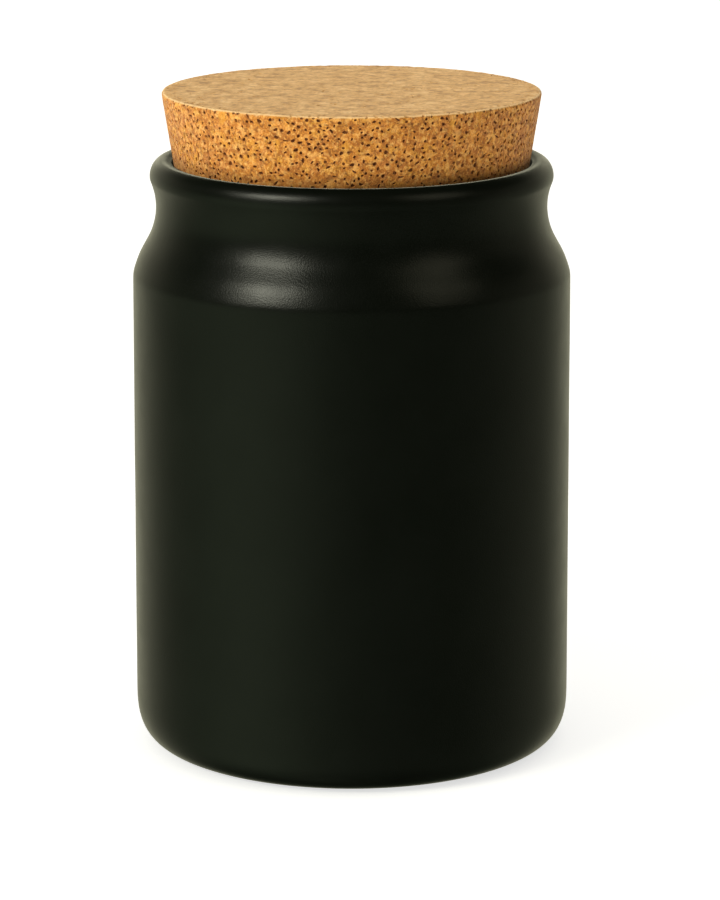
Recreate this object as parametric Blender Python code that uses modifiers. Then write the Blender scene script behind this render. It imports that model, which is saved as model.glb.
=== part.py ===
"""Ceramic spice jar with a tapered cork stopper.

Units are metres, +Z is up. The origin is on the axis of the jar, in the plane
that the foot ring stands on. Both pieces are turned shapes: a half profile in
the XZ plane, drawn from the axis up the inside, over the rim and down the
outside, swept round Z by a Screw modifier.
"""

import math

import bmesh
import bpy

# ---------------------------------------------------------------- dimensions
SEGMENTS = 64              # facets round the axis

# jar: outside
BODY_R = 0.0350            # top of the wall
BODY_LOW_R = 0.0352        # foot of the wall, which has a slight draft
FOOT_R = 0.02725           # outer edge of the ring that the jar stands on
FOOT_RING_W = 0.0040       # width of that ring
FOOT_RECESS = 0.0012       # how far the base inside the ring is raised
CORNER_H = 0.0091          # height of the rounded bottom corner
CORNER_POWER = 2.88        # 2 is an ellipse, more is squarer
SHOULDER_Z = 0.07686       # the straight wall ends here
BREAK_ARC_R = 0.00351      # tight arc where the wall breaks into the shoulder
BREAK_DEG = 14.0           # lean of the shoulder at the end of that arc
SHOULDER_ARC_R = 0.0148    # wide convex arc of the shoulder
SHOULDER_DEG = 29.56       # steepest lean of the shoulder from upright
NECK_ARC_R = 0.01046       # concave arc below the waist of the neck
NECK_R = 0.03122           # waist of the neck
COLLAR_ARC_R = 0.01064     # concave arc above the waist
COLLAR_DEG = 22.24         # lean of the collar where it meets the lip
LIP_ARC_R = 0.00197        # rolled lip, sideways
LIP_RISE = 0.00259         # rolled lip, from its widest ring up to the rim

# jar: inside
WALL = 0.0035              # wall thickness, measured square to the wall
FLOOR = 0.0040             # floor thickness above the recess
INNER_CORNER_R = 0.0060    # between floor and wall
BORE_DEG = 9.5             # flare of the mouth above the throat
BORE_EDGE_R = 0.00055      # rounding of the inner edge of the rim

# cork stopper
CORK_TOP_Z = 0.10636       # top face, stopper seated
CORK_TOP_R = 0.03019       # radius that the taper reaches at the top face
CORK_TAPER = 0.1604        # loss of radius per metre downwards
CORK_LENGTH = 0.0220
CORK_TOP_EDGE = 0.0007     # rounding of the top edge
CORK_FOOT_EDGE = 0.0009    # rounding of the bottom edge


# ------------------------------------------------------------------- helpers
def arc(cx, cz, r, start_deg, end_deg, steps, rz=None):
    """Points on an arc about (cx, cz), both ends included."""
    rz = r if rz is None else rz
    points = []
    for i in range(steps + 1):
        a = math.radians(start_deg + (end_deg - start_deg) * i / steps)
        points.append((cx + r * math.cos(a), cz + rz * math.sin(a)))
    return points


def joined(*runs):
    """The runs end to end, without the points that two of them share."""
    points = []
    for run in runs:
        for p in run:
            if not points or math.dist(points[-1], p) > 1e-6:
                points.append(p)
    return points


def material(name, colour, roughness, metallic=0.0):
    mat = bpy.data.materials.new(name)
    mat.use_nodes = True
    bsdf = mat.node_tree.nodes["Principled BSDF"]
    bsdf.inputs["Base Color"].default_value = (*colour, 1.0)
    bsdf.inputs["Roughness"].default_value = roughness
    bsdf.inputs["Metallic"].default_value = metallic
    return mat


def turned(name, profile, mat, collection, parent, at=(0.0, 0.0, 0.0)):
    """An object swept from a profile of (radius, height) points, whose origin is
    at a place on the axis."""
    mesh = bpy.data.meshes.new(name)
    bm = bmesh.new()
    verts = [bm.verts.new((r, 0.0, z - at[2])) for r, z in profile]
    for a, b in zip(verts, verts[1:]):
        bm.edges.new((a, b))
    bm.to_mesh(mesh)
    bm.free()
    obj = bpy.data.objects.new(name, mesh)
    obj.location = at
    collection.objects.link(obj)
    obj.parent = parent
    mesh.materials.append(mat)
    screw = obj.modifiers.new("Turn", "SCREW")
    screw.axis = "Z"
    screw.angle = 2.0 * math.pi
    screw.screw_offset = 0.0
    screw.steps = SEGMENTS
    screw.render_steps = SEGMENTS
    screw.use_merge_vertices = True
    screw.merge_threshold = 0.00001
    screw.use_smooth_shade = True
    return obj


# ------------------------------------------------------------------ profiles
def jar_profile():
    """From the axis along the floor, up the inside, over the rim, down the
    outside, and under the foot back to the axis."""
    lean = math.radians(SHOULDER_DEG)
    flare = math.radians(COLLAR_DEG)

    # tight arc, wide arc, a short straight slope, then the arc into the waist
    turn = math.radians(BREAK_DEG)
    break_c = (BODY_R - BREAK_ARC_R, SHOULDER_Z)
    shoulder_c = (break_c[0] - (SHOULDER_ARC_R - BREAK_ARC_R) * math.cos(turn),
                  break_c[1] - (SHOULDER_ARC_R - BREAK_ARC_R) * math.sin(turn))
    slope_top_r = NECK_R + NECK_ARC_R * (1.0 - math.cos(lean))
    slope_foot_r = shoulder_c[0] + SHOULDER_ARC_R * math.cos(lean)
    slope_foot_z = shoulder_c[1] + SHOULDER_ARC_R * math.sin(lean)
    slope_top_z = slope_foot_z + (slope_foot_r - slope_top_r) / math.tan(lean)
    neck_z = slope_top_z + NECK_ARC_R * math.sin(lean)
    neck_c = (NECK_R + NECK_ARC_R, neck_z)

    # collar arc above the waist, then the rolled lip
    collar_c = (NECK_R + COLLAR_ARC_R, neck_z)
    collar_r = collar_c[0] - COLLAR_ARC_R * math.cos(flare)
    collar_z = neck_z + COLLAR_ARC_R * math.sin(flare)
    lip_c = (collar_r - LIP_ARC_R * math.cos(flare),
             collar_z + LIP_ARC_R * math.sin(flare))
    rim_z = lip_c[1] + LIP_RISE

    # inside: the wall keeps its thickness up to the throat, and one arc takes it
    # from the upright wall to the slope
    floor_z = FOOT_RECESS + FLOOR
    inner_r = BODY_R - WALL
    corner_c = (inner_r - INNER_CORNER_R, floor_z + INNER_CORNER_R)
    inner_slope = (slope_foot_r - WALL * math.cos(lean), slope_foot_z - WALL * math.sin(lean))
    inner_arc_r = (inner_r - inner_slope[0]) / (1.0 - math.cos(lean))
    inner_arc_c = (inner_r - inner_arc_r, inner_slope[1] - inner_arc_r * math.sin(lean))
    inside = joined(
        [(0.0, floor_z)],
        arc(*corner_c, INNER_CORNER_R, -90.0, 0.0, 5),
        arc(*inner_arc_c, inner_arc_r, 0.0, SHOULDER_DEG, 4),
        arc(*neck_c, NECK_ARC_R + WALL, 180.0 + SHOULDER_DEG, 180.0 - BORE_DEG, 5),
    )
    throat_r, throat_z = inside[-1]
    edge_z = rim_z - BORE_EDGE_R
    edge_r = throat_r + (edge_z - throat_z) * math.tan(math.radians(BORE_DEG))
    inner_edge = arc(lip_c[0], edge_z, lip_c[0] - edge_r, 180.0, 90.0, 3, rz=BORE_EDGE_R)

    # outside, top to bottom
    outside = joined(
        arc(*lip_c, LIP_ARC_R, 90.0, 0.0, 6, rz=LIP_RISE),
        arc(*lip_c, LIP_ARC_R, 0.0, -COLLAR_DEG, 2),
        arc(*collar_c, COLLAR_ARC_R, 180.0 - COLLAR_DEG, 180.0, 3),
        arc(*neck_c, NECK_ARC_R, 180.0, 180.0 + SHOULDER_DEG, 4),
        arc(*shoulder_c, SHOULDER_ARC_R, SHOULDER_DEG, BREAK_DEG, 3),
        arc(*break_c, BREAK_ARC_R, BREAK_DEG, 0.0, 2),
    )

    # rounded bottom corner, from the straight wall down to the foot ring
    corner = []
    steps = 9
    for i in range(steps + 1):
        a = 0.5 * math.pi * (1.0 - i / steps)
        r = FOOT_R + (BODY_LOW_R - FOOT_R) * math.sin(a) ** (2.0 / CORNER_POWER)
        z = CORNER_H - CORNER_H * math.cos(a) ** (2.0 / CORNER_POWER)
        corner.append((r, z))

    # flat ring, then up into the recess
    ring_in = FOOT_R - FOOT_RING_W
    foot = [(ring_in, 0.0), (ring_in - 0.6 * FOOT_RECESS, 0.75 * FOOT_RECESS),
            (ring_in - 1.6 * FOOT_RECESS, FOOT_RECESS), (0.0, FOOT_RECESS)]
    return joined(inside, inner_edge, outside, corner, foot)


def cork_profile():
    """From the axis at the top face, down the taper, to the axis at the foot."""
    lean = math.degrees(math.atan(CORK_TAPER))
    foot_z = CORK_TOP_Z - CORK_LENGTH

    def taper_r(z):
        return CORK_TOP_R - CORK_TAPER * (CORK_TOP_Z - z)

    top_z = CORK_TOP_Z - CORK_TOP_EDGE
    low_z = foot_z + CORK_FOOT_EDGE
    middle = [(taper_r(top_z + (low_z - top_z) * k / 3), top_z + (low_z - top_z) * k / 3)
              for k in range(1, 3)]
    return joined(
        [(0.0, CORK_TOP_Z)],
        arc(taper_r(top_z) - CORK_TOP_EDGE, top_z, CORK_TOP_EDGE, 90.0, -lean, 3),
        middle,
        arc(taper_r(low_z) - CORK_FOOT_EDGE, low_z, CORK_FOOT_EDGE, -lean, -90.0, 3),
        [(0.0, foot_z)],
    )


# --------------------------------------------------------------------- build
def main():
    for old in list(bpy.data.objects):
        bpy.data.objects.remove(old, do_unlink=True)

    scene = bpy.context.scene
    scene.unit_settings.system = "METRIC"
    scene.unit_settings.length_unit = "MILLIMETERS"
    parts = bpy.data.collections.new("ceramic_spice_jar")
    scene.collection.children.link(parts)

    root = bpy.data.objects.new("spice_jar_frame", None)
    root.empty_display_size = 0.02
    parts.objects.link(root)

    # the stopper's own frame is on the axis that it lifts along, at the throat
    lift = bpy.data.objects.new("cork_lift_axis", None)
    lift.empty_display_type = "SINGLE_ARROW"
    lift.empty_display_size = 0.03
    lift.parent = root
    parts.objects.link(lift)

    glaze = material("black_satin_glaze", (0.012, 0.013, 0.010), 0.38)
    cork = material("agglomerated_cork", (0.60, 0.34, 0.13), 0.85)

    turned("jar_body", jar_profile(), glaze, parts, root)
    turned("cork_stopper", cork_profile(), cork, parts, lift,
           at=(0.0, 0.0, CORK_TOP_Z - CORK_LENGTH))


main()
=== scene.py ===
"""Looks of the ceramic spice jar: glazed body, agglomerated cork stopper, studio.

Everything is in metres, +Z up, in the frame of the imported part. The jar is
turned from a fine profile. The cork is a triangulated skin whose pits are cut
into it as geometry, and its material reads the depth of each pit.
"""

import math

import bpy
import numpy as np
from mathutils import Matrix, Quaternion, Vector
from mathutils.geometry import delaunay_2d_cdt


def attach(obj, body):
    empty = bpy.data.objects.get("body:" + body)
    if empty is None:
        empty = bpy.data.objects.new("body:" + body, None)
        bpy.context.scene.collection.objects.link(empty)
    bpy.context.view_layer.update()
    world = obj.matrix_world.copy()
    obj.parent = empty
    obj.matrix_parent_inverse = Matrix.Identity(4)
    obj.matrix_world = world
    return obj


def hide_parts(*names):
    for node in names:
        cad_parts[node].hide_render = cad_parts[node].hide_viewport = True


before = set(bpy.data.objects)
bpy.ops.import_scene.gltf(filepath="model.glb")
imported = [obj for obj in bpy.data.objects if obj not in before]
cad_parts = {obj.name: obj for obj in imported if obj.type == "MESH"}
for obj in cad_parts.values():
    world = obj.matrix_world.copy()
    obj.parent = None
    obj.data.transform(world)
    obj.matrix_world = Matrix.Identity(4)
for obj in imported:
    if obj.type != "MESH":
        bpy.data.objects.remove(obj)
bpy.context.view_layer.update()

MM = 0.001

# ------------------------------------------------------------- jar dimensions
BODY_R = 0.0350
BODY_LOW_R = 0.0352
FOOT_R = 0.02725
FOOT_RING_W = 0.0040
FOOT_RECESS = 0.0012
CORNER_H = 0.0091
CORNER_POWER = 2.88
SHOULDER_Z = 0.07686
BREAK_ARC_R = 0.00351
BREAK_DEG = 14.0
SHOULDER_ARC_R = 0.0148
SHOULDER_DEG = 29.56
NECK_ARC_R = 0.01046
NECK_R = 0.03122
COLLAR_ARC_R = 0.01064
COLLAR_DEG = 22.24
LIP_ARC_R = 0.00197
LIP_RISE = 0.00259
WALL = 0.0035
FLOOR = 0.0040
INNER_CORNER_R = 0.0060
BORE_DEG = 9.5
BORE_EDGE_R = 0.00055
JAR_SEGMENTS = 256
SHOULDER_SOFT = 0.0003      # the glaze spreads the break of the wall over this much
SHOULDER_DIPS = ((0.0787, 0.00099, 0.000047), (0.0818, 0.00166, 0.000100))   # height, spread, depth
GLAZE_STEP = 0.00010        # the glaze stands this proud of the wiped clay
GLAZE_LINE_R = 0.0288       # where the glaze ends above the foot ring

# ------------------------------------------------------------ cork dimensions
CORK_TOP_Z = 0.10636
CORK_TOP_R = 0.03019
CORK_TAPER = 0.1604
CORK_LENGTH = 0.0220
CORK_TOP_EDGE = 0.00045
CORK_FOOT_EDGE = 0.00080
CORK_FACE_IN = 0.0021       # the flat faces start this far in from the edges
CORK_RING = 360             # points on the rings that the faces and the side share
SEAM = math.pi / 2          # the skins of both pieces close at the back


# -------------------------------------------------------------------- helpers
def arc(cx, cz, r, start_deg, end_deg, steps, rz=None):
    rz = r if rz is None else rz
    points = []
    for i in range(steps + 1):
        a = math.radians(start_deg + (end_deg - start_deg) * i / steps)
        points.append((cx + r * math.cos(a), cz + rz * math.sin(a)))
    return points


def line(a, b, steps):
    return [(a[0] + (b[0] - a[0]) * i / steps, a[1] + (b[1] - a[1]) * i / steps)
            for i in range(steps + 1)]


def joined(*runs):
    points = []
    for run in runs:
        for p in run:
            if not points or math.dist(points[-1], p) > 1e-7:
                points.append(p)
    return points


def smoothstep(a, b, x):
    t = np.clip((x - a) / (b - a), 0.0, 1.0)
    return t * t * (3.0 - 2.0 * t)


def softened(points, width, low, high):
    """The run with its curvature spread over a width, between two heights."""
    p = np.array(points)
    s = np.concatenate([[0.0], np.cumsum(np.linalg.norm(np.diff(p, axis=0), axis=1))])
    pitch = 0.00002
    dense = np.arange(-4.0 * width, s[-1] + 4.0 * width, pitch)
    reach = np.arange(-3.5 * width, 3.5 * width, pitch)
    kernel = np.exp(-0.5 * (reach / width) ** 2)
    kernel /= kernel.sum()
    out = []
    for axis in (0, 1):
        smooth = np.convolve(np.interp(dense, s, p[:, axis]), kernel, mode="same")
        out.append(np.interp(s, dense, smooth))
    share = smoothstep(low, low + 0.002, p[:, 1]) * smoothstep(high, high - 0.002, p[:, 1])
    mixed = p + (np.stack(out, axis=1) - p) * share[:, None]
    return [tuple(float(v) for v in q) for q in mixed]


def dipped(points, dips):
    """The run drawn in towards the axis by shallow dips (height, spread, depth)."""
    return [(r - sum(depth * math.exp(-0.5 * ((z - at) / spread) ** 2) for at, spread, depth in dips), z)
            for r, z in points]


class Waves:
    """A smooth random field: a sum of plane waves with seeded directions."""

    def __init__(self, seed, wavelength, count=24, dims=3):
        rng = np.random.default_rng(seed)
        d = rng.normal(size=(count, dims))
        d /= np.linalg.norm(d, axis=1, keepdims=True)
        self.k = d * (2.0 * math.pi / wavelength) * rng.uniform(0.6, 1.5, (count, 1))
        self.phase = rng.uniform(0.0, 2.0 * math.pi, count)
        self.scale = math.sqrt(2.0 / count)

    def __call__(self, points):
        return self.scale * np.cos(np.asarray(points) @ self.k.T + self.phase).sum(axis=1)


def make_object(name, verts, faces, uvs, attributes, material, sharp_deg=None):
    """A mesh object from arrays. faces is a list of index tuples, uvs one pair for
    each face corner, in order."""
    mesh = bpy.data.meshes.new(name)
    mesh.from_pydata([tuple(v) for v in verts], [], faces)
    layer = mesh.uv_layers.new(name="OFBake")
    layer.data.foreach_set("uv", np.asarray(uvs, np.float32).ravel())
    for key, values in attributes.items():
        attribute = mesh.attributes.new(key, "FLOAT", "POINT")
        attribute.data.foreach_set("value", np.asarray(values, np.float32))
    mesh.materials.append(material)
    mesh.shade_smooth()
    if sharp_deg is not None:
        mesh.set_sharp_from_angle(angle=math.radians(sharp_deg))
    mesh.validate()
    mesh.update()
    obj = bpy.data.objects.new(name, mesh)
    bpy.context.scene.collection.objects.link(obj)
    return obj


# ------------------------------------------------------------- material tools
class Tree:
    """Short calls for building a node tree."""

    def __init__(self, owner, coords="Object"):
        owner.use_nodes = True
        self.nt = owner.node_tree
        self.bsdf = self.nt.nodes.get("Principled BSDF")
        self.coords = self.nt.nodes.new("ShaderNodeTexCoord").outputs[coords]

    def put(self, socket, value):
        if isinstance(value, bpy.types.NodeSocket):
            self.nt.links.new(value, socket)
        elif value is not None:
            if isinstance(value, (tuple, list)) and len(value) == 3 and socket.type == "RGBA":
                value = (*value, 1.0)
            socket.default_value = value

    def node(self, kind, **settings):
        n = self.nt.nodes.new(kind)
        for k, v in settings.items():
            setattr(n, k, v)
        return n

    def math(self, op, a, b=None, c=None, clamp=False):
        n = self.node("ShaderNodeMath", operation=op, use_clamp=clamp)
        self.put(n.inputs[0], a)
        self.put(n.inputs[1], b)
        if c is not None:
            self.put(n.inputs[2], c)
        return n.outputs[0]

    def mapping(self, vector, scale=(1.0, 1.0, 1.0), rotation=(0.0, 0.0, 0.0), location=(0.0, 0.0, 0.0)):
        n = self.node("ShaderNodeMapping")
        self.put(n.inputs["Vector"], vector)
        n.inputs["Scale"].default_value = scale
        n.inputs["Rotation"].default_value = rotation
        n.inputs["Location"].default_value = location
        return n.outputs[0]

    def noise(self, scale, detail=2.0, roughness=0.5, vector=None, distortion=0.0):
        n = self.node("ShaderNodeTexNoise")
        self.put(n.inputs["Vector"], vector or self.coords)
        n.inputs["Scale"].default_value = scale
        n.inputs["Detail"].default_value = detail
        n.inputs["Roughness"].default_value = roughness
        n.inputs["Distortion"].default_value = distortion
        return n.outputs["Fac"]

    def noise_colour(self, scale, detail=2.0, vector=None):
        n = self.node("ShaderNodeTexNoise")
        self.put(n.inputs["Vector"], vector or self.coords)
        n.inputs["Scale"].default_value = scale
        n.inputs["Detail"].default_value = detail
        return n.outputs["Color"]

    def remap(self, value, a, b, lo=0.0, hi=1.0, smooth=False):
        n = self.node("ShaderNodeMapRange", clamp=True)
        n.interpolation_type = "SMOOTHSTEP" if smooth else "LINEAR"
        self.put(n.inputs["Value"], value)
        n.inputs["From Min"].default_value = a
        n.inputs["From Max"].default_value = b
        n.inputs["To Min"].default_value = lo
        n.inputs["To Max"].default_value = hi
        return n.outputs["Result"]

    def mix(self, factor, a, b, blend="MIX"):
        n = self.node("ShaderNodeMix", data_type="RGBA", blend_type=blend)
        self.put(n.inputs["Factor"], factor)
        self.put(n.inputs[6], a)
        self.put(n.inputs[7], b)
        return n.outputs[2]

    def ramp(self, value, stops):
        n = self.node("ShaderNodeValToRGB")
        e = n.color_ramp.elements
        while len(e) < len(stops):
            e.new(0.5)
        for item, (at, colour) in zip(e, stops):
            item.position = at
            item.color = (*colour, 1.0)
        self.put(n.inputs[0], value)
        return n.outputs["Color"]

    def attribute(self, name):
        n = self.node("ShaderNodeAttribute", attribute_name=name)
        return n.outputs["Fac"]

    def gauss(self, value, centre, width):
        n = self.math("DIVIDE", self.math("SUBTRACT", value, centre), width)
        return self.math("EXPONENT", self.math("MULTIPLY", self.math("MULTIPLY", n, n), -0.5))

    def bump(self, height, distance, strength=1.0, normal=None):
        n = self.node("ShaderNodeBump")
        n.inputs["Strength"].default_value = strength
        n.inputs["Distance"].default_value = distance
        self.put(n.inputs["Height"], height)
        if normal is not None:
            self.put(n.inputs["Normal"], normal)
        return n.outputs["Normal"]


# ------------------------------------------------------------------ materials
def glaze_material():
    mat = bpy.data.materials.new("black_satin_glaze")
    t = Tree(mat)
    clay = t.attribute("bare_clay")
    rim = t.attribute("rim")

    # the glaze is a little uneven in tone and in gloss
    cloud = t.noise(95.0, 3.0, 0.55)
    colour = t.ramp(cloud, [(0.30, (0.0013, 0.0018, 0.0009)), (0.72, (0.0022, 0.0029, 0.0016))])
    # wiped clay of the foot: warm buff with iron specks, edge broken by the glaze
    wander = t.math("SUBTRACT", t.noise(420.0, 2.0), 0.5)
    clay_mask = t.remap(t.math("ADD", clay, t.math("MULTIPLY", wander, 0.5)), 0.42, 0.58, smooth=True)
    clay_tone = t.ramp(t.noise(1500.0, 4.0, 0.65),
                       [(0.25, (0.30, 0.215, 0.140)), (0.55, (0.44, 0.335, 0.235)), (0.8, (0.53, 0.42, 0.31))])
    specks = t.remap(t.noise(2600.0, 0.0), 0.70, 0.75, 0.0, 0.75)
    clay_tone = t.mix(specks, clay_tone, (0.10, 0.055, 0.030))
    t.put(t.bsdf.inputs["Base Color"], t.mix(clay_mask, colour, clay_tone))

    # the glaze is drier inside the rim, where it runs thin
    rough = t.remap(t.noise(210.0, 3.0, 0.6), 0.3, 0.7, 0.285, 0.330)
    rough = t.math("ADD", rough, t.math("MULTIPLY", rim, 0.14))
    rough = t.math("ADD", rough, t.math("MULTIPLY", clay_mask, 0.50), clamp=True)
    t.put(t.bsdf.inputs["Roughness"], rough)

    # fine orange peel of a satin glaze, and the grain of the bare clay
    peel = t.noise(4900.0, 0.0, 0.5)
    normal = t.bump(peel, 0.000016, 1.0)
    grain = t.math("MULTIPLY", t.noise(3800.0, 3.0, 0.7), clay_mask)
    t.put(t.bsdf.inputs["Normal"], t.bump(grain, 0.00010, 1.0, normal))
    t.bsdf.inputs["IOR"].default_value = 1.5
    return mat


def cork_material():
    mat = bpy.data.materials.new("agglomerated_cork")
    t = Tree(mat)
    pit = t.attribute("pit")
    face = t.attribute("cut_face")

    # granules of cork pressed together, each nearly of the same tone
    warp = t.node("ShaderNodeVectorMath", operation="MULTIPLY_ADD")
    t.put(warp.inputs[0], t.noise_colour(1100.0, 2.0))
    warp.inputs[1].default_value = (0.0009, 0.0009, 0.0009)
    t.put(warp.inputs[2], t.coords)
    cells = t.node("ShaderNodeTexVoronoi", feature="F1")
    t.put(cells.inputs["Vector"], warp.outputs[0])
    cells.inputs["Scale"].default_value = 850.0
    tone = t.node("ShaderNodeSeparateColor")
    t.put(tone.inputs[0], cells.outputs["Color"])
    granule = t.ramp(tone.outputs[0], [
        (0.00, (0.385, 0.118, 0.011)),
        (0.30, (0.555, 0.183, 0.017)),
        (0.70, (0.640, 0.224, 0.022)),
        (1.00, (0.800, 0.324, 0.041)),
    ])
    edges = t.node("ShaderNodeTexVoronoi", feature="DISTANCE_TO_EDGE")
    t.put(edges.inputs["Vector"], warp.outputs[0])
    edges.inputs["Scale"].default_value = 850.0
    joint = t.remap(edges.outputs["Distance"], 0.0, 0.12, 1.0, 0.0, smooth=True)
    joint = t.math("MULTIPLY", joint, t.remap(t.noise(900.0, 2.0), 0.40, 0.65))
    colour = t.mix(t.math("MULTIPLY", joint, 0.32), granule, (0.340, 0.120, 0.024))

    # tints of the bark: olive and rosy
    tint = t.noise(620.0, 2.0, 0.5)
    colour = t.mix(t.remap(tint, 0.54, 0.66, 0.0, 0.45), colour, (0.540, 0.262, 0.019))
    colour = t.mix(t.remap(tint, 0.46, 0.34, 0.0, 0.45), colour, (0.660, 0.245, 0.062))

    # cells and dust in the ground side, light and dark
    dash = t.noise(1.0, 3.0, 0.62, t.mapping(t.coords, (2100.0, 2100.0, 1750.0), (0.12, 0.08, 0.5)))
    colour = t.mix(t.remap(dash, 0.48, 0.34, 0.0, 0.85), colour, (0.290, 0.086, 0.011))
    colour = t.mix(t.remap(dash, 0.53, 0.67, 0.0, 0.90), colour, (0.890, 0.465, 0.115))
    speck = t.noise(1700.0, 1.0, 0.5)
    colour = t.mix(t.remap(speck, 0.575, 0.635, 0.0, 0.80), colour, (0.220, 0.072, 0.010))
    patch = t.noise(1150.0, 1.0, 0.5)
    colour = t.mix(t.remap(patch, 0.46, 0.34, 0.0, 0.42), colour, (0.330, 0.100, 0.012))
    colour = t.mix(t.remap(patch, 0.54, 0.66, 0.0, 0.42), colour, (0.900, 0.480, 0.130))
    grit = t.noise(5200.0, 1.0, 0.5)
    colour = t.mix(t.remap(grit, 0.46, 0.34, 0.0, 0.34), colour, (0.340, 0.115, 0.018))
    colour = t.mix(t.remap(grit, 0.54, 0.66, 0.0, 0.30), colour, (0.850, 0.440, 0.105))
    amber = t.noise(420.0, 1.0)
    colour = t.mix(t.remap(amber, 0.63, 0.72, 0.0, 0.45), colour, (0.750, 0.330, 0.030))

    # painted shade: the cork is darker towards the rim, which shades it, and the part that goes into the mouth stays
    # dark
    height = t.node("ShaderNodeSeparateXYZ")
    t.put(height.inputs[0], t.coords)
    level = t.math("ADD", height.outputs[2], t.math("MULTIPLY", t.math("SUBTRACT", t.noise(700.0, 2.0), 0.5), 0.0012))
    colour = t.mix(t.remap(level, 0.0979, 0.0956, 0.0, 0.42, smooth=True), colour, (0.190, 0.066, 0.012))

    # sliced faces are paler than the ground side, with broad flat granules
    flat = t.ramp(t.noise(1.0, 3.0, 0.6, t.mapping(warp.outputs[0], (520.0, 520.0, 520.0))), [
        (0.33, (0.435, 0.227, 0.069)),
        (0.46, (0.668, 0.373, 0.125)),
        (0.55, (0.740, 0.427, 0.153)),
        (0.67, (0.855, 0.545, 0.226)),
    ])
    flat = t.mix(t.remap(t.noise(1100.0, 2.0), 0.54, 0.66, 0.0, 0.60), flat, (0.430, 0.205, 0.055))
    flat = t.mix(t.math("MULTIPLY", joint, 0.25), flat, (0.400, 0.190, 0.052))
    colour = t.mix(t.math("MULTIPLY", face, 0.92), colour, flat)
    # painted highlight: a thin pale line along the top edge, where it catches the light
    top_edge_highlight = t.math("MULTIPLY", t.math("MULTIPLY", face, t.math("SUBTRACT", 1.0, face)), 3.6, clamp=True)
    top_edge_highlight = t.math("MULTIPLY", top_edge_highlight, t.remap(height.outputs[2], 0.1050, 0.1056))
    colour = t.mix(top_edge_highlight, colour, (0.860, 0.560, 0.240))
    # the inside of the pits
    deep = t.remap(pit, 0.10, 0.78, 0.0, 1.0, smooth=True)
    colour = t.mix(deep, colour, t.mix(face, (0.150, 0.042, 0.006), (0.300, 0.150, 0.050)))
    t.put(t.bsdf.inputs["Base Color"], colour)

    fine = t.noise(3300.0, 3.0, 0.65)
    t.put(t.bsdf.inputs["Roughness"], t.remap(fine, 0.2, 0.8, 0.92, 0.74))
    grain = t.math("ADD", t.noise(2600.0, 4.0, 0.7), t.math("MULTIPLY", joint, -0.5))
    t.put(t.bsdf.inputs["Normal"], t.bump(grain, 0.00008, 0.8))
    t.bsdf.inputs["Specular IOR Level"].default_value = 0.35
    t.bsdf.inputs["Sheen Weight"].default_value = 0.10
    t.bsdf.inputs["Sheen Roughness"].default_value = 0.5
    return mat


def floor_material():
    mat = bpy.data.materials.new("studio_floor")
    t = Tree(mat)
    t.put(t.bsdf.inputs["Base Color"], t.ramp(t.noise(3.0, 2.0), [(0.3, (FLOOR_ALBEDO - 0.01,) * 3), (0.7, (FLOOR_ALBEDO,) * 3)]))
    t.bsdf.inputs["Roughness"].default_value = 0.9
    t.bsdf.inputs["Specular IOR Level"].default_value = 0.0
    t.bsdf.inputs["Emission Color"].default_value = (1.0, 1.0, 1.0, 1.0)
    t.bsdf.inputs["Emission Strength"].default_value = FLOOR_GLOW
    return mat


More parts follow.
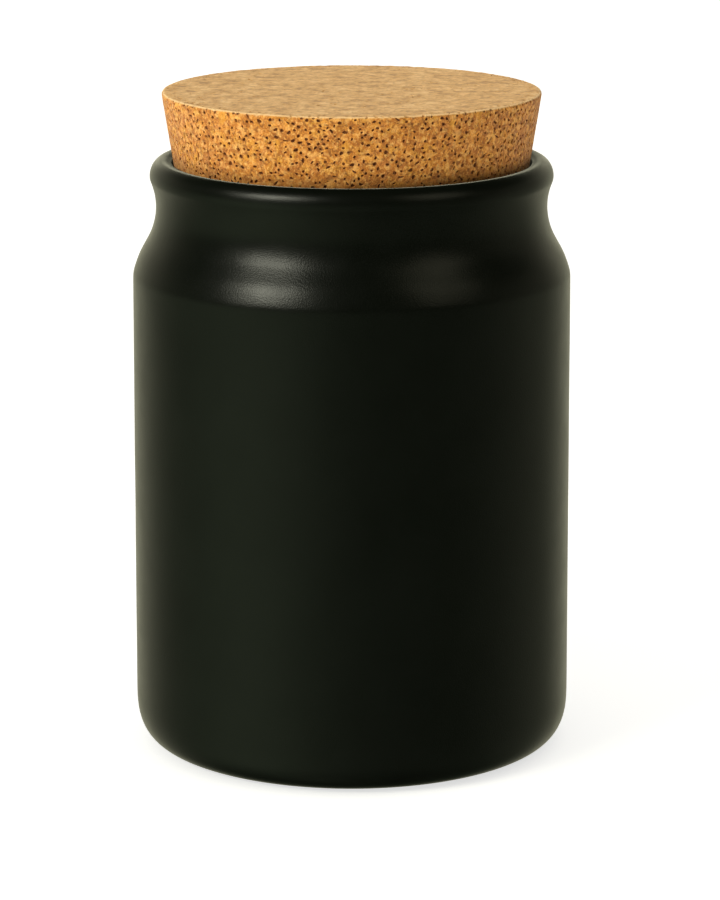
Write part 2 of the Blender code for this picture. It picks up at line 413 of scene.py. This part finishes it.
# ------------------------------------------------------------------------ jar
def jar_runs():
    """The profile of the jar as four runs of (radius, height): inner floor, inner
    wall up to the rim, outside down to the foot, and under the foot."""
    lean = math.radians(SHOULDER_DEG)
    turn = math.radians(BREAK_DEG)
    flare = math.radians(COLLAR_DEG)
    break_c = (BODY_R - BREAK_ARC_R, SHOULDER_Z)
    shoulder_c = (break_c[0] - (SHOULDER_ARC_R - BREAK_ARC_R) * math.cos(turn),
                  break_c[1] - (SHOULDER_ARC_R - BREAK_ARC_R) * math.sin(turn))
    slope_top_r = NECK_R + NECK_ARC_R * (1.0 - math.cos(lean))
    slope_foot_r = shoulder_c[0] + SHOULDER_ARC_R * math.cos(lean)
    slope_foot_z = shoulder_c[1] + SHOULDER_ARC_R * math.sin(lean)
    slope_top_z = slope_foot_z + (slope_foot_r - slope_top_r) / math.tan(lean)
    neck_z = slope_top_z + NECK_ARC_R * math.sin(lean)
    neck_c = (NECK_R + NECK_ARC_R, neck_z)
    collar_c = (NECK_R + COLLAR_ARC_R, neck_z)
    collar_r = collar_c[0] - COLLAR_ARC_R * math.cos(flare)
    collar_z = neck_z + COLLAR_ARC_R * math.sin(flare)
    lip_c = (collar_r - LIP_ARC_R * math.cos(flare), collar_z + LIP_ARC_R * math.sin(flare))
    rim_z = lip_c[1] + LIP_RISE

    floor_z = FOOT_RECESS + FLOOR
    inner_r = BODY_R - WALL
    corner_c = (inner_r - INNER_CORNER_R, floor_z + INNER_CORNER_R)
    inner_slope = (slope_foot_r - WALL * math.cos(lean), slope_foot_z - WALL * math.sin(lean))
    inner_arc_r = (inner_r - inner_slope[0]) / (1.0 - math.cos(lean))
    inner_arc_c = (inner_r - inner_arc_r, inner_slope[1] - inner_arc_r * math.sin(lean))
    inner_floor = line((0.0, floor_z), (corner_c[0], floor_z), 10)
    inner_wall = joined(
        arc(*corner_c, INNER_CORNER_R, -90.0, 0.0, 14),
        line((inner_r, corner_c[1]), (inner_r, inner_arc_c[1]), 16),
        arc(*inner_arc_c, inner_arc_r, 0.0, SHOULDER_DEG, 8),
        arc(*neck_c, NECK_ARC_R + WALL, 180.0 + SHOULDER_DEG, 180.0 - BORE_DEG, 16),
    )
    throat_r, throat_z = inner_wall[-1]
    edge_z = rim_z - BORE_EDGE_R
    edge_r = throat_r + (edge_z - throat_z) * math.tan(math.radians(BORE_DEG))
    inner_wall = joined(inner_wall, line((throat_r, throat_z), (edge_r, edge_z), 5),
                        arc(lip_c[0], edge_z, lip_c[0] - edge_r, 180.0, 90.0, 10, rz=BORE_EDGE_R))

    slope = line((slope_foot_r, slope_foot_z), (slope_top_r, slope_top_z), 3)
    wall_top = (BODY_R + (BODY_LOW_R - BODY_R) * 0.05, SHOULDER_Z + (CORNER_H - SHOULDER_Z) * 0.05)
    outside = joined(
        arc(*lip_c, LIP_ARC_R, 90.0, 0.0, 20, rz=LIP_RISE),
        arc(*lip_c, LIP_ARC_R, 0.0, -COLLAR_DEG, 7),
        arc(*collar_c, COLLAR_ARC_R, 180.0 - COLLAR_DEG, 180.0, 9),
        arc(*neck_c, NECK_ARC_R, 180.0, 180.0 + SHOULDER_DEG, 15),
        slope[::-1],
        arc(*shoulder_c, SHOULDER_ARC_R, SHOULDER_DEG, BREAK_DEG, 12),
        arc(*break_c, BREAK_ARC_R, BREAK_DEG, 0.0, 6),
        line((BODY_R, SHOULDER_Z), wall_top, 11),
        line(wall_top, (BODY_LOW_R, CORNER_H), 25),
    )
    outside = dipped(softened(outside, SHOULDER_SOFT, 0.0700, 0.0805), SHOULDER_DIPS)
    corner = []
    steps = 46
    for i in range(steps + 1):
        a = 0.5 * math.pi * (1.0 - i / steps) ** 1.6
        r = FOOT_R + (BODY_LOW_R - FOOT_R) * math.sin(a) ** (2.0 / CORNER_POWER)
        z = CORNER_H - CORNER_H * math.cos(a) ** (2.0 / CORNER_POWER)
        # the glaze ends in a small rounded step just above the foot ring
        step = float(smoothstep(GLAZE_LINE_R + 0.0001, GLAZE_LINE_R - 0.0001, r))
        z += GLAZE_STEP * step * float(smoothstep(FOOT_R, FOOT_R + 0.0006, r))
        corner.append((r, z))
    outside = joined(outside, corner)

    ring_in = FOOT_R - FOOT_RING_W
    under = joined(
        line((FOOT_R, 0.0), (ring_in, 0.0), 5),
        line((ring_in, 0.0), (ring_in - 0.6 * FOOT_RECESS, 0.75 * FOOT_RECESS), 3),
        line((ring_in - 0.6 * FOOT_RECESS, 0.75 * FOOT_RECESS), (ring_in - 1.6 * FOOT_RECESS, FOOT_RECESS), 4),
        line((ring_in - 1.6 * FOOT_RECESS, FOOT_RECESS), (0.0, FOOT_RECESS), 8),
    )
    return inner_floor, inner_wall, outside, under


def jar_mesh(material):
    runs = jar_runs()
    seg = JAR_SEGMENTS
    profile, run_of = [], []
    for number, run in enumerate(runs):
        for p in run[(1 if number else 0):]:
            profile.append(p)
            run_of.append(number)
    profile = np.array(profile)
    count = len(profile)
    along = np.concatenate([[0.0], np.cumsum(np.linalg.norm(np.diff(profile, axis=0), axis=1))])
    starts = [min(i for i in range(count) if run_of[i] == k) for k in range(4)]

    theta = SEAM + 2.0 * math.pi * np.arange(seg) / seg
    rings = np.arange(1, count - 1)
    grid = np.empty((len(rings), seg, 3))
    grid[:, :, 0] = profile[rings, 0][:, None] * np.cos(theta)
    grid[:, :, 1] = profile[rings, 0][:, None] * np.sin(theta)
    grid[:, :, 2] = profile[rings, 1][:, None]

    # a cast and glazed wall is never quite true: it dips in by a few hundredths of
    # a millimetre, and only inwards, so the jar keeps its size
    flat = grid.reshape(-1, 3)
    dip = 0.5 + 0.5 * np.clip(0.7 * Waves(11, 0.026)(flat) + 0.3 * Waves(12, 0.009)(flat), -1.6, 1.6) / 1.6
    outer = np.array([run_of[i] == 2 for i in rings])
    fade = smoothstep(0.0015, 0.006, grid[:, :, 2]) * outer[:, None]
    pull = 0.000045 * dip.reshape(grid.shape[:2]) * fade
    radius = np.hypot(grid[:, :, 0], grid[:, :, 1])
    grid[:, :, 0] *= 1.0 - pull / radius
    grid[:, :, 1] *= 1.0 - pull / radius

    verts = [(0.0, 0.0, profile[0, 1])] + [tuple(p) for p in grid.reshape(-1, 3)] + [(0.0, 0.0, profile[-1, 1])]
    last = len(verts) - 1

    def index(ring, k):
        if ring == 0:
            return 0
        if ring == count - 1:
            return last
        return 1 + (ring - 1) * seg + k % seg

    side = 0.270                       # the map's width in metres of surface
    pad = 0.002

    def uv(ring, k, run):
        r, z = profile[ring]
        a = theta[0] + 2.0 * math.pi * k / seg
        if run == 0:
            return ((side - 0.0280 + r * math.cos(a)) / side, (0.030 + r * math.sin(a)) / side)
        if run == 3:
            return ((side - 0.0280 + r * math.cos(a)) / side, (0.086 + r * math.sin(a)) / side)
        turn = k / seg
        if run == 1:
            base = along[starts[1] - 1]
            return ((pad + turn * 0.200) / side, (pad + along[ring] - base) / side)
        base = along[starts[2] - 1]
        return ((pad + turn * 0.210) / side, (side - pad - (along[ring] - base)) / side)

    faces, uvs = [], []
    for ring in range(count - 1):
        run = run_of[ring + 1]
        for k in range(seg):
            if ring == 0:
                corners = [(0, k), (1, k), (1, k + 1)]
            elif ring == count - 2:
                corners = [(ring, k + 1), (ring, k), (ring + 1, k)]
            else:
                corners = [(ring, k), (ring + 1, k), (ring + 1, k + 1), (ring, k + 1)]
            faces.append(tuple(index(i, j) for i, j in corners))
            uvs.extend(uv(i, j, run) for i, j in corners)

    ring_of = [0] + [int(r) for r in rings for _ in range(seg)] + [count - 1]
    r_of, z_of = profile[ring_of, 0], profile[ring_of, 1]
    run_at = np.array(run_of)[ring_of]
    clay = ((run_at >= 2) & (z_of < 0.004)).astype(float)
    clay *= smoothstep(GLAZE_LINE_R + 0.0002, GLAZE_LINE_R - 0.0002, r_of)
    clay *= smoothstep(FOOT_R - FOOT_RING_W - 0.0016, FOOT_R - FOOT_RING_W - 0.0008, r_of)
    lip_z = profile[:, 1].max()
    rim = np.where(run_at == 1, smoothstep(lip_z - 0.0070, lip_z - 0.0050, z_of)
                   * smoothstep(lip_z, lip_z - 0.00012, z_of), 0.0)
    return make_object("jar_glazed_body", verts, faces, uvs, {"bare_clay": clay, "rim": rim}, material)


# ----------------------------------------------------------------------- cork
def taper_r(z):
    return CORK_TOP_R - CORK_TAPER * (CORK_TOP_Z - z)


def cork_side_profile():
    """From the top face, over the edge, down the taper, under the foot edge."""
    lean = math.degrees(math.atan(CORK_TAPER))
    foot_z = CORK_TOP_Z - CORK_LENGTH
    top_z = CORK_TOP_Z - CORK_TOP_EDGE
    low_z = foot_z + CORK_FOOT_EDGE
    top_c = taper_r(top_z) - CORK_TOP_EDGE
    low_c = taper_r(low_z) - CORK_FOOT_EDGE
    return np.array(joined(
        line((top_c - CORK_FACE_IN, CORK_TOP_Z), (top_c, CORK_TOP_Z), 4),
        arc(top_c, top_z, CORK_TOP_EDGE, 90.0, -lean, 7),
        arc(low_c, low_z, CORK_FOOT_EDGE, -lean, -90.0, 7),
        line((low_c, foot_z), (low_c - CORK_FACE_IN, foot_z), 4),
    ))


class Pits:
    """Pits scattered over a flat map, in millimetres, none touching another."""

    def __init__(self, seed, keep, wrap=None):
        self.rng = np.random.default_rng(seed)
        self.keep = keep          # keep(x, y, reach): is the pit inside the map
        self.wrap = wrap          # the map's width where its sides meet
        self.found = []
        self.cells = {}

    def clear(self, x, y, reach):
        cx, cy = int(x // 1.5), int(y // 1.5)
        for i in range(cx - 1, cx + 2):
            for j in range(cy - 1, cy + 2):
                for px, py, pr in self.cells.get((i, j), ()):
                    if (px - x) ** 2 + (py - y) ** 2 < (pr + reach) ** 2:
                        return False
        return True

    def add(self, x, y, a, b, angle, depth, tone, rings, sides):
        reach = max(a, b) * 1.12 + 0.02
        if not self.keep(x, y, reach) or not self.clear(x, y, reach):
            return False
        self.cells.setdefault((int(x // 1.5), int(y // 1.5)), []).append((x, y, reach))
        rng = self.rng
        phi = np.arange(sides) * 2.0 * math.pi / sides + rng.uniform(0.0, 6.3)
        shape = 1.0 + 0.16 * np.cos(2 * phi + rng.uniform(0, 6.3)) + 0.11 * np.cos(3 * phi + rng.uniform(0, 6.3))
        shape *= rng.uniform(0.90, 1.06, sides)
        px, py = a * shape * np.cos(phi), b * shape * np.sin(phi)
        bend = rng.uniform(-0.35, 0.35) * b / (a * a) if a > 1.6 * b else 0.0
        py = py + bend * (px ** 2 - 0.5 * a * a)
        ca, sa = math.cos(angle), math.sin(angle)
        ox, oy = px * ca - py * sa, px * sa + py * ca
        self.found.append((x, y, ox, oy, depth, tone, rings, reach))
        return True

    def scatter(self, count, pick):
        """count tries, each with the sizes that pick gives."""
        made = 0
        for _ in range(count):
            x, y = pick(self.rng)[:2]
            made += self.one(x, y, pick)
        return made

    def one(self, x, y, pick):
        _, _, a, b, angle, depth, tone, rings, sides = pick(self.rng)
        return self.add(x, y, a, b, angle, depth, tone, rings, sides)


def scatter_pits(pits, area, spot, weight=1.0, crowd=1.25, faint=0.80):
    """Fills a map with deep pits, some in chains, and with faint dimples. spot
    gives a random place, area is the map's in square millimetres, crowd and faint
    are the tries in each square millimetre."""
    rng = pits.rng

    def deep():
        kind = rng.random()
        if kind < 0.74:                                   # roundish
            b = rng.uniform(0.20, 0.30)
            a = b * rng.uniform(1.0, 1.45)
        elif kind < 0.93:                                 # elongated
            b = rng.uniform(0.17, 0.22)
            a = b * rng.uniform(1.7, 2.8)
        else:                                             # large
            b = rng.uniform(0.28, 0.36)
            a = b * rng.uniform(1.0, 1.4)
        return (a, b, rng.uniform(0.0, math.pi), min(0.45, b * rng.uniform(0.9, 1.5)), rng.uniform(0.58, 1.0),
                2, 7 if a < 0.36 else 9)

    for _ in range(int(crowd * area * weight)):
        x, y = spot()
        a, b, angle, depth, tone, rings, sides = deep()
        if not pits.add(x, y, a, b, angle, depth, tone, rings, sides):
            continue
        while rng.random() < 0.32:                        # a neighbour in a chain
            a2, b2, angle2, depth2, tone2, rings2, sides2 = deep()
            way = rng.uniform(0.0, 2.0 * math.pi)
            gap = (max(a, b) + max(a2, b2)) * 1.12 + 0.05 + rng.uniform(0.0, 0.08)
            x, y = x + gap * math.cos(way), y + gap * math.sin(way)
            if not pits.add(x, y, a2, b2, angle2, depth2, tone2, rings2, sides2):
                break
            a, b = a2, b2
    for _ in range(int(faint * area * weight)):           # faint dimples
        x, y = spot()
        b = rng.uniform(0.12, 0.22)
        a = b * rng.uniform(1.0, 2.4)
        pits.add(x, y, a, b, rng.uniform(0.0, math.pi), b * rng.uniform(0.5, 1.0), rng.uniform(0.28, 0.66), 1, 6)


def skin(boundary, boundary_edges, pits, fill):
    """Triangulates a map round its pits. Returns the points in the order that the
    boundary was given first, their depth, their tone, and the triangles."""
    points = [tuple(p) for p in boundary]
    edges = list(boundary_edges)
    depth = [0.0] * len(points)
    tone = [0.0] * len(points)
    for x, y, ox, oy, d, shade, rings, reach in pits.found:
        n = len(ox)
        first = len(points)
        steps = ((1.0, 0.0, 0.0), (0.74, 0.75, 0.95)) if rings == 2 else ((1.0, 0.0, 0.0),)
        for number, (size, sink, dark) in enumerate(steps):
            base = len(points)
            for i in range(n):
                points.append((x + ox[i] * size, y + oy[i] * size))
                depth.append(d * sink)
                tone.append(shade * dark)
            if number < 2:
                edges.extend((base + i, base + (i + 1) % n) for i in range(n))
        points.append((x + float(ox.mean()), y + float(oy.mean())))
        depth.append(d * 1.02)
        tone.append(shade)
    for x, y in fill:
        points.append((x, y))
        depth.append(0.0)
        tone.append(0.0)
    out = delaunay_2d_cdt([Vector(p) for p in points], edges, [], 0, 1e-6, True)
    where = [o[0] if o else -1 for o in out[3]]
    coords = np.array([tuple(v) for v in out[0]])
    depth, tone = np.array(depth), np.array(tone)
    index = np.array(where)
    known = index >= 0
    d = np.where(known, depth[index], 0.0)
    s = np.where(known, tone[index], 0.0)
    return coords, index, d, s, [tuple(f) for f in out[2]], len(points)


def fill_points(rng, pits, x0, x1, y0, y1, pitch, keep):
    """A jittered triangular grid that leaves the pits alone."""
    rows = int((y1 - y0) / (pitch * 0.866))
    cols = int((x1 - x0) / pitch)
    gx, gy = np.meshgrid(np.arange(cols), np.arange(rows))
    x = x0 + (gx + 0.25 + 0.5 * (gy % 2)) * pitch + rng.uniform(-0.22, 0.22, gx.shape) * pitch
    y = y0 + (gy + 0.5) * pitch * 0.866 + rng.uniform(-0.22, 0.22, gx.shape) * pitch
    kept = []
    for px, py in zip(x.ravel(), y.ravel()):
        if keep(px, py, 0.28) and pits.clear(px, py, 0.06):
            kept.append((float(px), float(py)))
    return kept


def cork_mesh(material):
    profile = cork_side_profile()
    steps = np.linalg.norm(np.diff(profile, axis=0), axis=1)
    s_at = np.concatenate([[0.0], np.cumsum(steps)]) * 1000.0
    s_max = s_at[-1]
    tangents = np.diff(profile, axis=0) / steps[:, None]
    at_points = np.vstack([tangents[:1], tangents[:-1] + tangents[1:], tangents[-1:]])
    at_points /= np.linalg.norm(at_points, axis=1, keepdims=True)
    width = 2.0 * math.pi * 28.4          # the side's map, in millimetres

    def place(x, s, sink):
        """Points of the side's map in space, sunk below the surface."""
        r = np.interp(s, s_at, profile[:, 0])
        z = np.interp(s, s_at, profile[:, 1])
        tr = np.interp(s, s_at, at_points[:, 0])
        tz = np.interp(s, s_at, at_points[:, 1])
        size = np.hypot(tr, tz)
        nr, nz = -tz / size, tr / size
        a = SEAM + 2.0 * math.pi * x / width
        r = r - nr * sink * MM
        z = z - nz * sink * MM
        return np.stack([r * np.cos(a), r * np.sin(a), z], axis=1)

    verts, depths, tones, cut, all_faces, all_uvs = [], [], [], [], [], []
    rough_a, rough_b = Waves(31, 0.0011), Waves(32, 0.0030)
    map_side = 0.122                      # the bake map's width in metres of surface

    # rings that the side shares with the faces
    ring_x = np.arange(CORK_RING) * width / CORK_RING
    zeros = np.zeros(CORK_RING)
    top_ring = place(ring_x, zeros, zeros)
    low_ring = place(ring_x, zeros + s_max, zeros)
    seam_rows = 44
    seam_s = np.linspace(0.0, s_max, seam_rows + 1)[1:-1]
    seam = place(np.zeros(len(seam_s)), seam_s, np.zeros(len(seam_s)))
    verts.extend([top_ring, low_ring, seam])
    shared = 2 * CORK_RING + len(seam_s)
    depths.append(np.zeros(shared))
    tones.append(np.zeros(shared))
    cut.append(np.concatenate([np.ones(2 * CORK_RING), np.zeros(len(seam_s))]))
    count = shared

    # ---- the side
    boundary, target = [], []
    for k in range(CORK_RING + 1):
        boundary.append((k * width / CORK_RING, 0.0))
        target.append(k % CORK_RING)
    for j, s in enumerate(seam_s):
        boundary.append((width, float(s)))
        target.append(2 * CORK_RING + j)
    for k in range(CORK_RING, -1, -1):
        boundary.append((k * width / CORK_RING, s_max))
        target.append(CORK_RING + k % CORK_RING)
    for j in range(len(seam_s) - 1, -1, -1):
        boundary.append((0.0, float(seam_s[j])))
        target.append(2 * CORK_RING + j)
    edges = [(i, (i + 1) % len(boundary)) for i in range(len(boundary))]

    def in_side(x, y, reach):
        return reach + 0.05 < x < width - reach - 0.05 and reach + 0.05 < y < s_max - reach - 0.05

    pits = Pits(2024, in_side)
    scatter_pits(pits, width * s_max, lambda: (pits.rng.uniform(0, width), pits.rng.uniform(0, s_max)))
    fill = fill_points(np.random.default_rng(5), pits, 0.0, width, 0.0, s_max, 0.66, in_side)
    # extra rows follow the rounded edges
    for i in range(1, len(s_at) - 1):
        if s_at[i] < 3.2 or s_at[i] > s_max - 3.4:
            step = 0.42
            for k in range(int(width / step)):
                x = (k + 0.5 * (i % 2)) * step
                if in_side(x, s_at[i], 0.12) and pits.clear(x, float(s_at[i]), 0.05):
                    fill.append((x, float(s_at[i])))
    coords, index, d, tone, faces, _ = skin(boundary, edges, pits, fill)
    side_pits = len(pits.found)

    def relief(points):
        """Sanded cork is a little uneven, and only inwards."""
        return 0.030 + 0.014 * np.clip(rough_a(points), -1.5, 1.5) + 0.006 * np.clip(rough_b(points), -1.5, 1.5)

    at = place(coords[:, 0], coords[:, 1], d)
    outline = index < len(boundary)
    uneven = np.where(outline & (index >= 0), 0.0, relief(at))
    at = place(coords[:, 0], coords[:, 1], d + uneven)
    names = np.empty(len(coords), int)
    new = ~(outline & (index >= 0))
    names[new] = count + np.arange(new.sum())
    names[~new] = np.array(target)[index[~new]]
    verts.append(at[new])
    depths.append(d[new])
    tones.append(tone[new])
    s_new = coords[new, 1]
    top_end = s_at[4]
    cut.append(np.maximum(smoothstep(top_end + 0.5, top_end - 0.1, s_new),
                          smoothstep(s_max - top_end - 0.5, s_max - top_end + 0.1, s_new)))
    count += int(new.sum())
    half = width / 2.0
    for f in faces:
        xs = coords[list(f), 0]
        second = xs.mean() > half
        all_faces.append(tuple(int(names[i]) for i in reversed(f)))
        for i in reversed(f):
            x = coords[i, 0] - (half if second else 0.0)
            y = coords[i, 1] + (s_max + 1.5 if second else 0.0)
            all_uvs.append(((2.5 + x) * MM / map_side, (1.0 + y) * MM / map_side))

    # ---- the two faces
    for which, ring, offset, seed, z, flip, centre in (
            ("top", top_ring, 0, 77, CORK_TOP_Z, False, (31.0, 88.0)),
            ("foot", low_ring, CORK_RING, 78, CORK_TOP_Z - CORK_LENGTH, True, (91.5, 88.0))):
        boundary = [(float(p[0]) * 1000.0, float(p[1]) * 1000.0) for p in ring]
        edges = [(i, (i + 1) % CORK_RING) for i in range(CORK_RING)]
        limit = math.hypot(*boundary[0])

        def in_face(x, y, reach, limit=limit):
            return math.hypot(x, y) < limit - reach - 0.08

        face_pits = Pits(seed, in_face)
        scatter_pits(face_pits, math.pi * limit * limit,
                     lambda: tuple(face_pits.rng.uniform(-limit, limit, 2)), 4.0 / math.pi,
                     0.035, 0.22)
        fill = fill_points(np.random.default_rng(seed), face_pits, -limit, limit, -limit, limit, 0.80, in_face)
        coords, index, d, tone, faces, _ = skin(boundary, edges, face_pits, fill)
        outline = (index >= 0) & (index < CORK_RING)
        flat = np.stack([coords[:, 0] * MM, coords[:, 1] * MM, np.full(len(coords), z)], axis=1)
        near = smoothstep(limit, limit - 1.0, np.hypot(coords[:, 0], coords[:, 1]))
        uneven = np.where(outline, 0.0, relief(flat) * (0.4 + 0.6 * near))
        flat[:, 2] += (1.0 if flip else -1.0) * (d + uneven) * MM
        names = np.empty(len(coords), int)
        names[~outline] = count + np.arange((~outline).sum())
        names[outline] = offset + index[outline]
        verts.append(flat[~outline])
        depths.append(d[~outline])
        tones.append(tone[~outline])
        cut.append(np.ones((~outline).sum()))
        count += int((~outline).sum())
        for f in faces:
            order = tuple(reversed(f)) if flip else f
            all_faces.append(tuple(int(names[i]) for i in order))
            for i in order:
                all_uvs.append(((centre[0] + coords[i, 0]) * MM / map_side,
                                (centre[1] + coords[i, 1]) * MM / map_side))
        print(which, "pits", len(face_pits.found), "triangles", len(faces))

    verts = np.vstack(verts)
    print("cork: side pits", side_pits, "triangles", len(all_faces), "points", len(verts))
    return make_object("cork_granulated_stopper", verts, all_faces, all_uvs,
                       {"pit": np.concatenate(tones), "cut_face": np.concatenate(cut)},
                       material, 48.0)


jar = jar_mesh(glaze_material())
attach(jar, "jar")
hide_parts("jar_body")

cork = cork_mesh(cork_material())
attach(cork, "stopper")
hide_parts("cork_stopper")
cork.visible_glossy = False     # the satin rim shows no image of the cork


# --------------------------------------------------------------------- studio
# Azimuth 0 is on the camera's side of the jar, positive to the camera's right.
FLOOR_ALBEDO = 0.90
FLOOR_GLOW = 0.68           # a light table: its white doesn't depend on the lamps


def towards(azimuth, elevation, distance=1.0, height=0.0):
    a, e = math.radians(azimuth), math.radians(elevation)
    return Vector((distance * math.sin(a) * math.cos(e), -distance * math.cos(a) * math.cos(e),
                   height + distance * math.sin(e)))


def lamp(name, data, azimuth, elevation, distance, roll=0.0):
    light = bpy.data.objects.new(name, data)
    light.location = towards(azimuth, elevation, distance, 0.06)
    turn = (Vector((0.0, 0.0, 0.06)) - light.location).to_track_quat("-Z", "Y")
    light.rotation_euler = (turn @ Quaternion((0.0, 0.0, 1.0), math.radians(roll))).to_euler()
    bpy.context.scene.collection.objects.link(light)
    return light


def softbox(name, azimuth, elevation, half_width, half_height, roll, radiance, colour, distance=4.0):
    """A soft light whose half sizes are given in degrees as the jar sees them."""
    data = bpy.data.lights.new(name, "AREA")
    data.shape = "RECTANGLE"
    data.size = 2.0 * distance * math.tan(math.radians(half_width))
    data.size_y = 2.0 * distance * math.tan(math.radians(half_height))
    data.energy = radiance * math.pi * data.size * data.size_y
    data.color = colour
    return lamp(name, data, azimuth, elevation, distance, roll)


def scrim(name, azimuth, elevation, angle, strength, colour, only=None):
    """Light from a scrim so wide that it leaves no reflection of its own."""
    data = bpy.data.lights.new(name, "SUN")
    data.angle = math.radians(angle)
    data.energy = strength
    data.color = colour
    light = lamp(name, data, azimuth, elevation, 2.0)
    light.visible_glossy = False
    if only is not None:
        light.light_linking.receiver_collection = only
    return light


def studio_world():
    """What the glaze mirrors: a dim room, a paler wall behind the jar, and the
    white table below it. The camera sees plain white."""
    world = bpy.data.worlds.new("studio")
    t = Tree(world, "Generated")
    xyz = t.node("ShaderNodeSeparateXYZ")
    t.put(xyz.inputs[0], t.coords)
    x, y, z = xyz.outputs
    el = t.math("MULTIPLY", t.math("ARCSINE", z), 180.0 / math.pi)
    az = t.math("MULTIPLY", t.math("ARCTAN2", x, t.math("MULTIPLY", y, -1.0)), 180.0 / math.pi)
    low = t.remap(el, 4.0, -4.0, smooth=True)
    high = t.math("SUBTRACT", 1.0, low)
    low = t.math("MULTIPLY", low, t.remap(el, -66.0, -40.0, 0.35, 1.0, smooth=True))
    band = t.math("MULTIPLY", t.remap(el, 30.0, 10.0, smooth=True), t.remap(el, -50.0, -22.0, smooth=True))
    room = t.math("ADD", t.math("MULTIPLY", low, 0.073), t.math("MULTIPLY", high, 0.020))
    room = t.math("ADD", room, t.math("MULTIPLY", t.math("MULTIPLY", low, t.gauss(az, -57.0, 27.0)), 0.285))
    wall = t.math("ADD", t.math("MULTIPLY", t.remap(az, -108.0, -163.0, smooth=True), 0.43),
                  t.math("MULTIPLY", t.remap(az, 118.0, 168.0, smooth=True), 0.61))
    wall = t.math("ADD", wall, t.math("MULTIPLY", t.remap(az, -86.0, -122.0, smooth=True), 0.078))
    wall = t.math("ADD", wall, t.math("MULTIPLY", t.remap(az, -146.0, -164.0, smooth=True), 0.16))
    wall = t.math("ADD", wall, t.math("MULTIPLY", t.gauss(az, 112.0, 22.0), 0.112))
    # straight behind the jar the wall is paler and ends low: the lip mirrors it at
    # both sides, and stays dark in front
    back = t.remap(t.math("ABSOLUTE", az), 160.0, 172.0, smooth=True)
    left_more = t.remap(az, -20.0, 20.0, 0.92, 0.66)
    wall = t.math("ADD", wall, t.math("MULTIPLY", t.math("MULTIPLY", back, left_more), t.gauss(el, 3.5, 8.0)))
    behind = t.math("MULTIPLY", back, t.remap(el, 11.0, 16.0, smooth=True))
    wall = t.math("MULTIPLY", t.math("MULTIPLY", band, wall), t.math("SUBTRACT", 1.0, behind))
    parts = []
    for value, colour in ((room, (0.82, 1.0, 0.64)), (wall, (1.04, 1.0, 0.72))):
        part = t.node("ShaderNodeVectorMath", operation="SCALE")
        part.inputs[0].default_value = colour
        t.put(part.inputs["Scale"], value)
        parts.append(part.outputs[0])
    tint = t.node("ShaderNodeVectorMath", operation="ADD")
    t.put(tint.inputs[0], parts[0])
    t.put(tint.inputs[1], parts[1])
    seen = t.node("ShaderNodeLightPath").outputs["Is Camera Ray"]
    background = t.nt.nodes["Background"]
    t.put(background.inputs["Color"], t.mix(seen, tint.outputs[0], (0.98, 0.98, 0.98)))
    background.inputs["Strength"].default_value = 1.0
    return world


bpy.context.scene.world = studio_world()

softbox("key_softbox", -49.5, 31.1, 12.5, 8.1, 16.2, 7.7, (1.0, 1.0, 0.82))
softbox("fill_softbox", 53.2, 35.1, 12.9, 13.9, 10.0, 0.515, (1.0, 0.95, 0.68))

subject = bpy.data.collections.new("subject")
for piece in (jar, cork):
    subject.objects.link(piece)
scrim("overhead_scrim", 0.0, 89.0, 110.0, 1.26, (1.0, 0.97, 0.90))
scrim("left_scrim", -66.0, 34.0, 50.0, 2.25, (1.0, 1.07, 1.22), subject)

floor_mesh = bpy.data.meshes.new("studio_floor")
reach = 9.0
floor_mesh.from_pydata([(-reach, -reach, 0.0), (reach, -reach, 0.0), (reach, reach, 0.0), (-reach, reach, 0.0)],
                       [], [(0, 1, 2, 3)])
floor_mesh.materials.append(floor_material())
floor = bpy.data.objects.new("studio_floor", floor_mesh)
bpy.context.scene.collection.objects.link(floor)
floor.visible_glossy = False

camera_data = bpy.data.cameras.new("photo_camera")
camera_data.sensor_width = 36.0
camera_data.lens = 157.317
camera_data.clip_start = 0.01
camera_data.clip_end = 60.0
camera = bpy.data.objects.new("photo_camera", camera_data)
camera.location = (0.00132, -0.61987, 0.192545)
camera.rotation_euler = (math.radians(90.0 - 13.149), 0.0, 0.0)
bpy.context.scene.collection.objects.link(camera)
bpy.context.scene.camera = camera

scene = bpy.context.scene
scene.view_settings.view_transform = "Standard"
scene.view_settings.look = "None"
scene.view_settings.exposure = 0.0
scene.view_settings.gamma = 1.0
